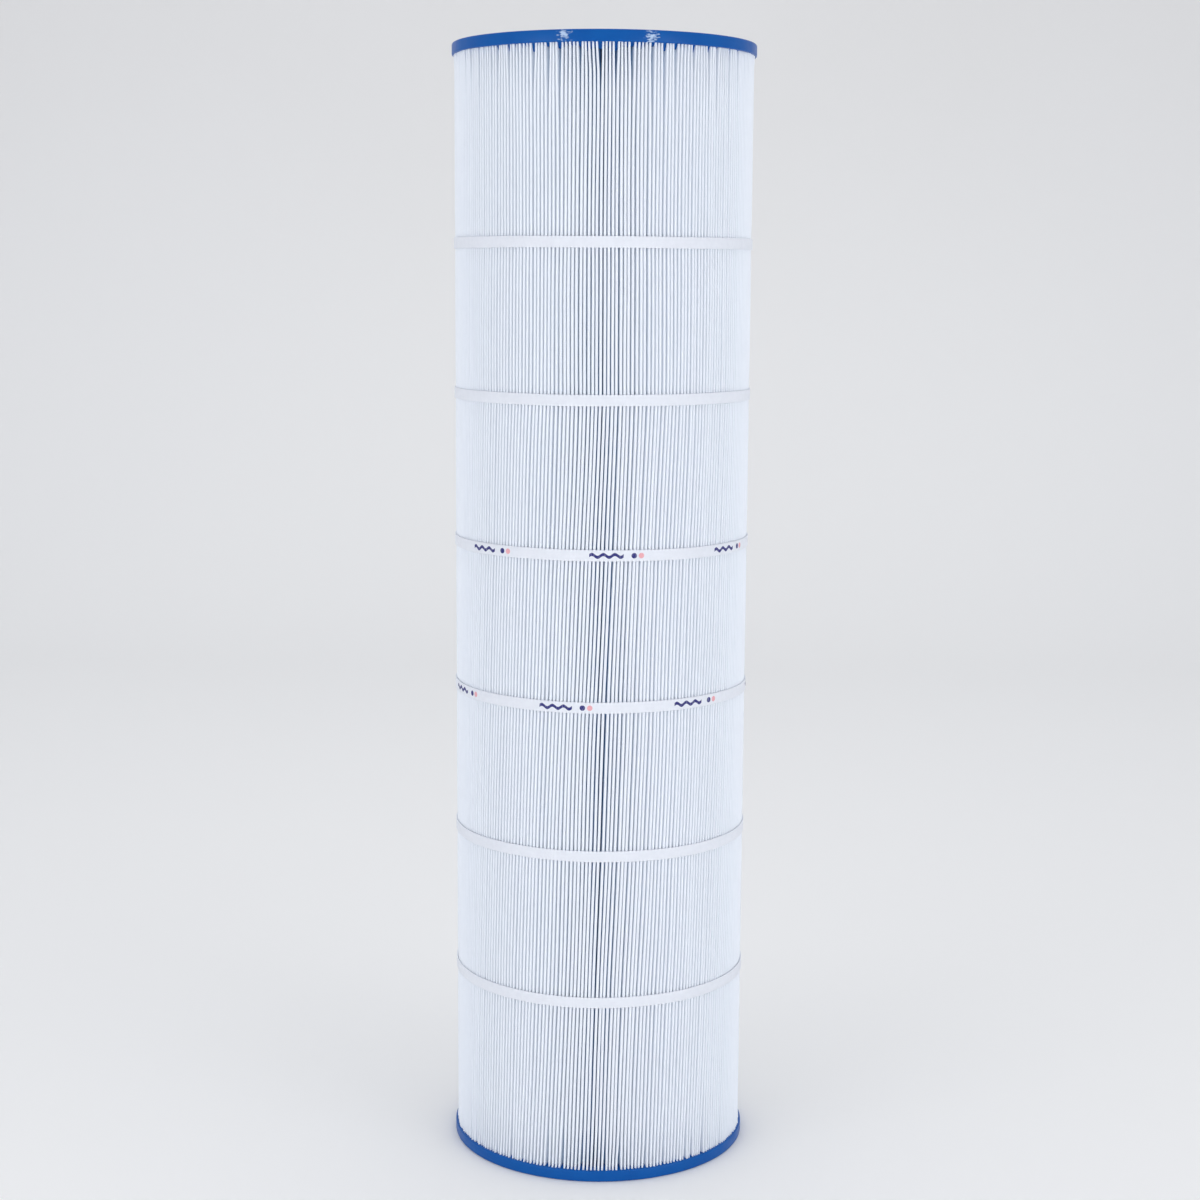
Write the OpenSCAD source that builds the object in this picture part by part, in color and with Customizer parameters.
// Pleated filter cartridge for a pool or spa filter that holds several cartridges side by side.
// It stands on its bottom end cap, with the origin at the centre of that face and +Z along its axis.
// Water passes inwards through the pleats and the core, and leaves along the axis through either port.

/* [Overall] */
// Length over both end caps
overall_length = 660; // [560:10:760]
// Diameter of the end caps
cap_diameter = 178; // [178:1:190]

/* [End caps] */
// Height of the rim of an end cap
cap_height = 6.8; // [5.5:0.1:10]
// Radius of the rounded outer edge of an end cap
cap_edge_radius = 1.2; // [0.6:0.1:2]
// Diameter of the port through an end cap
port_diameter = 76.2; // [70:0.1:77]
// How far the collar round the port stands up from the inside face
collar_height = 6; // [3:0.5:12]
// Wall of the collar round the port
collar_wall = 3; // [2:0.5:6]
// How deep the pleats and the core are cast into an end cap
potting_depth = 4.3; // [3:0.1:4.5]
// Depth of the moulded recess in the outside face
recess_depth = 0.8; // [0.4:0.1:1.2]
// Width of the raised ring round the outside face
outer_ring_width = 7; // [4:0.5:12]
// Width of the raised ring round the port
port_ring_width = 5; // [3:0.5:8]

/* [Core] */
// Inside diameter of the core
core_inner_diameter = 96; // [92:0.5:98]
// Wall of the core
core_wall = 3; // [2.4:0.1:4]
// Windows in one ring of the core
core_columns = 20; // [12:1:24]
// Rings of windows in one section
core_rows = 17; // [10:1:18]
// Width of the posts between the windows
core_post_width = 5; // [3:0.5:7]
// Height of the hoops between the windows
core_hoop_height = 4; // [3:0.5:6]
// Length of the joint between two sections
core_joint_length = 8; // [6:1:10]

/* [Pleats] */
// Number of pleats
pleat_count = 240; // [120:10:240]
// Thickness of the filter sheet
sheet_thickness = 0.5; // [0.4:0.05:0.5]
// Width of a pleat at its outer fold
pleat_tip_width = 1.3; // [1.1:0.1:1.4]

/* [Bands] */
// Distance from one band to the next
band_pitch = 87.3; // [60:0.1:88]
// Height of the middle of the lowest band
first_band_height = 109.2; // [60:0.1:130]
// Width of the strap that a band is made from
band_width = 6.4; // [5:0.1:10]
// Thickness of the strap
band_thickness = 0.7; // [0.5:0.1:1]
// Radius of a band's outside face
band_radius = 88; // [87:0.1:88]
// Length of the welded overlap of a band's two ends
band_lap = 14; // [8:1:20]

/* [Hidden] */
$fn = 96;

cap_radius = cap_diameter / 2;
port_radius = port_diameter / 2;
core_inner_radius = core_inner_diameter / 2;
core_outer_radius = core_inner_radius + core_wall;
// The pleats and the core end this far from the outside faces of the caps.
potted_end = cap_height - potting_depth;
potted_length = overall_length - 2 * potted_end;

section_count = 3;
section_length = potted_length / section_count;
// Half of the wall is left on each side of a joint between sections, less a running gap.
joint_radius = core_inner_radius + core_wall / 2;
joint_gap = 0.1;

// The sheet clears the core by this much, and the bands press on its outer folds.
media_gap = 0.1;
media_inner_radius = core_outer_radius + media_gap;
media_outer_radius = band_radius - band_thickness - 0.05;
pleat_angle = 360 / pleat_count;
// The seam of the sheet faces the back, which is +Y.
seam_angle = 90;
// Half of the gap that is left between two neighbouring pleats at their inner folds
root_half_gap = 0.05;
tip_half_width = pleat_tip_width / 2;
// Half of the gap inside a pleat at its outer fold
tip_half_hollow = tip_half_width - sheet_thickness;
root_half_width = media_inner_radius * tan(pleat_angle / 2) - root_half_gap;
root_half_hollow = root_half_width - sheet_thickness;
seam_bead_depth = 15;

// The strap's outer end is pressed into its inner end where they are welded.
lap_sink = band_thickness / 2;
lap_rise = 0.8 * band_thickness;

// The laps of the bands are turned round the back one after another.
first_lap_angle = 70;
lap_step = 11;

// ---- Helpers ----

// A point at a radius and a sideways offset from the ray at an angle
function ray_point(radius, sideways, angle) =
    radius * [cos(angle), sin(angle)] + sideways * [-sin(angle), cos(angle)];

// The sheet's outside face: for each pleat, the valley before it, its outer fold and the valley after it
function pleat_outside(index) =
    let (before = seam_angle + index * pleat_angle,
         middle = before + pleat_angle / 2,
         after = before + pleat_angle,
         valley = media_inner_radius + sheet_thickness)
    [
        ray_point(valley, root_half_gap, before),
        ray_point(media_outer_radius, -tip_half_width, middle),
        ray_point(media_outer_radius, tip_half_width, middle),
        ray_point(valley, -root_half_gap, after)
    ];

// The sheet's inside face of one pleat, in the opposite direction
function pleat_inside(index) =
    let (middle = seam_angle + (index + 0.5) * pleat_angle,
         fold = media_outer_radius - sheet_thickness)
    [
        ray_point(media_inner_radius, root_half_hollow, middle),
        ray_point(fold, tip_half_hollow, middle),
        ray_point(fold, -tip_half_hollow, middle),
        ray_point(media_inner_radius, -root_half_hollow, middle)
    ];

module ring(outer, inner, height) {
    difference() {
        cylinder(r = outer, h = height);
        translate([0, 0, -1])
            cylinder(r = inner, h = height + 2);
    }
}

// ---- Filter sheet ----

// One sheet, folded all the way round, with its two ends side by side at the seam
module media_outline() {
    polygon(concat(
        [for (i = [0 : pleat_count - 1]) each pleat_outside(i)],
        [for (i = [pleat_count - 1 : -1 : 0]) each pleat_inside(i)]
    ));
}

module pleated_media() {
    color("ghostwhite")
        translate([0, 0, potted_end])
            linear_extrude(height = potted_length)
                media_outline();
}

// Half of the wedge between the two pleats beside the seam, at a radius
function seam_half_gap(radius) =
    let (valley = media_inner_radius + sheet_thickness,
         tip_half_gap = media_outer_radius * tan(pleat_angle / 2) - tip_half_width,
         share = (radius - valley) / (media_outer_radius - valley))
    root_half_gap + (tip_half_gap - root_half_gap) * share;

// Hot-melt bead that joins the two ends of the sheet
module seam_outline() {
    low = media_inner_radius + sheet_thickness;
    high = low + seam_bead_depth;
    polygon([
        ray_point(low, -seam_half_gap(low), seam_angle),
        ray_point(low, seam_half_gap(low), seam_angle),
        ray_point(high, seam_half_gap(high), seam_angle),
        ray_point(high, -seam_half_gap(high), seam_angle)
    ]);
}

module media_seam_bead() {
    color("ivory")
        translate([0, 0, potted_end])
            linear_extrude(height = potted_length)
                seam_outline();
}

// ---- Core ----

// The cutters of the windows, in rings one above another
module core_windows(row_height) {
    window_width = 2 * PI * core_inner_radius / core_columns - core_post_width;
    window_height = row_height - core_hoop_height;
    reach = 3;
    for (row = [0 : core_rows - 1], column = [0 : core_columns - 1])
        rotate([0, 0, column * 360 / core_columns])
            translate([core_inner_radius - reach, -window_width / 2,
                       row * row_height + core_hoop_height / 2])
                cube([core_wall + 2 * reach, window_width, window_height]);
}

// One moulded length of core: a socket at its foot takes the spigot at the head of the one below.
module core_section(index) {
    base = potted_end + index * section_length;
    has_socket = index > 0;
    has_spigot = index < section_count - 1;
    lattice_length = section_length - 2 * core_joint_length;
    color("white")
        translate([0, 0, base])
            difference() {
                union() {
                    ring(core_outer_radius, core_inner_radius, section_length);
                    if (has_spigot)
                        ring(joint_radius - joint_gap / 2, core_inner_radius,
                             section_length + core_joint_length - joint_gap);
                }
                if (has_socket)
                    translate([0, 0, -1])
                        cylinder(r = joint_radius + joint_gap / 2, h = core_joint_length + 1);
                translate([0, 0, core_joint_length])
                    core_windows(lattice_length / core_rows);
            }
}

module core_section_lower() {
    core_section(0);
}

module core_section_middle() {
    core_section(1);
}

module core_section_upper() {
    core_section(2);
}

// ---- End caps ----

// Half section of an end cap that lies with its outside face at z = 0, before anything is cast into it
module cap_profile() {
    edge = cap_edge_radius;
    difference() {
        union() {
            translate([port_radius, 0])
                square([cap_radius - edge - port_radius, cap_height]);
            translate([port_radius, edge])
                square([cap_radius - port_radius, cap_height - edge]);
            translate([cap_radius - edge, edge])
                circle(r = edge);
            translate([port_radius, 0])
                square([collar_wall, cap_height + collar_height]);
        }
        translate([port_radius + port_ring_width, -1])
            square([cap_radius - outer_ring_width - port_radius - port_ring_width, recess_depth + 1]);
    }
}

// Cast in place round the ends of the pleats, the seam bead and the core
module end_cap() {
    difference() {
        rotate_extrude()
            cap_profile();
        translate([0, 0, potted_end]) {
            linear_extrude(height = cap_height)
                media_outline();
            linear_extrude(height = cap_height)
                seam_outline();
            ring(core_outer_radius, core_inner_radius, cap_height + collar_height);
        }
    }
}

module bottom_end_cap() {
    color("royalblue")
        end_cap();
}

// The same casting turned over about the X axis, so that its pockets still meet the pleats
module top_end_cap() {
    color("royalblue")
        translate([0, 0, overall_length])
            mirror([0, 0, 1])
                end_cap();
}

// ---- Bands ----

// A strap drawn round the pleats, with its outer end lapped over its inner end and welded
module band(index) {
    middle = first_band_height + index * band_pitch;
    lap_angle = band_lap / band_radius * 180 / PI;
    color("whitesmoke")
        translate([0, 0, middle - band_width / 2]) {
            ring(band_radius, band_radius - band_thickness, band_width);
            rotate([0, 0, first_lap_angle + index * lap_step])
                rotate_extrude(angle = lap_angle)
                    translate([band_radius - lap_sink, 0])
                        square([lap_sink + lap_rise, band_width]);
        }
}

module band_1() {
    band(0);
}

module band_2() {
    band(1);
}

module band_3() {
    band(2);
}

module band_4() {
    band(3);
}

module band_5() {
    band(4);
}

module band_6() {
    band(5);
}

// ---- Assembly ----

top_end_cap();
bottom_end_cap();
core_section_lower();
core_section_middle();
core_section_upper();
pleated_media();
media_seam_bead();
band_1();
band_2();
band_3();
band_4();
band_5();
band_6();
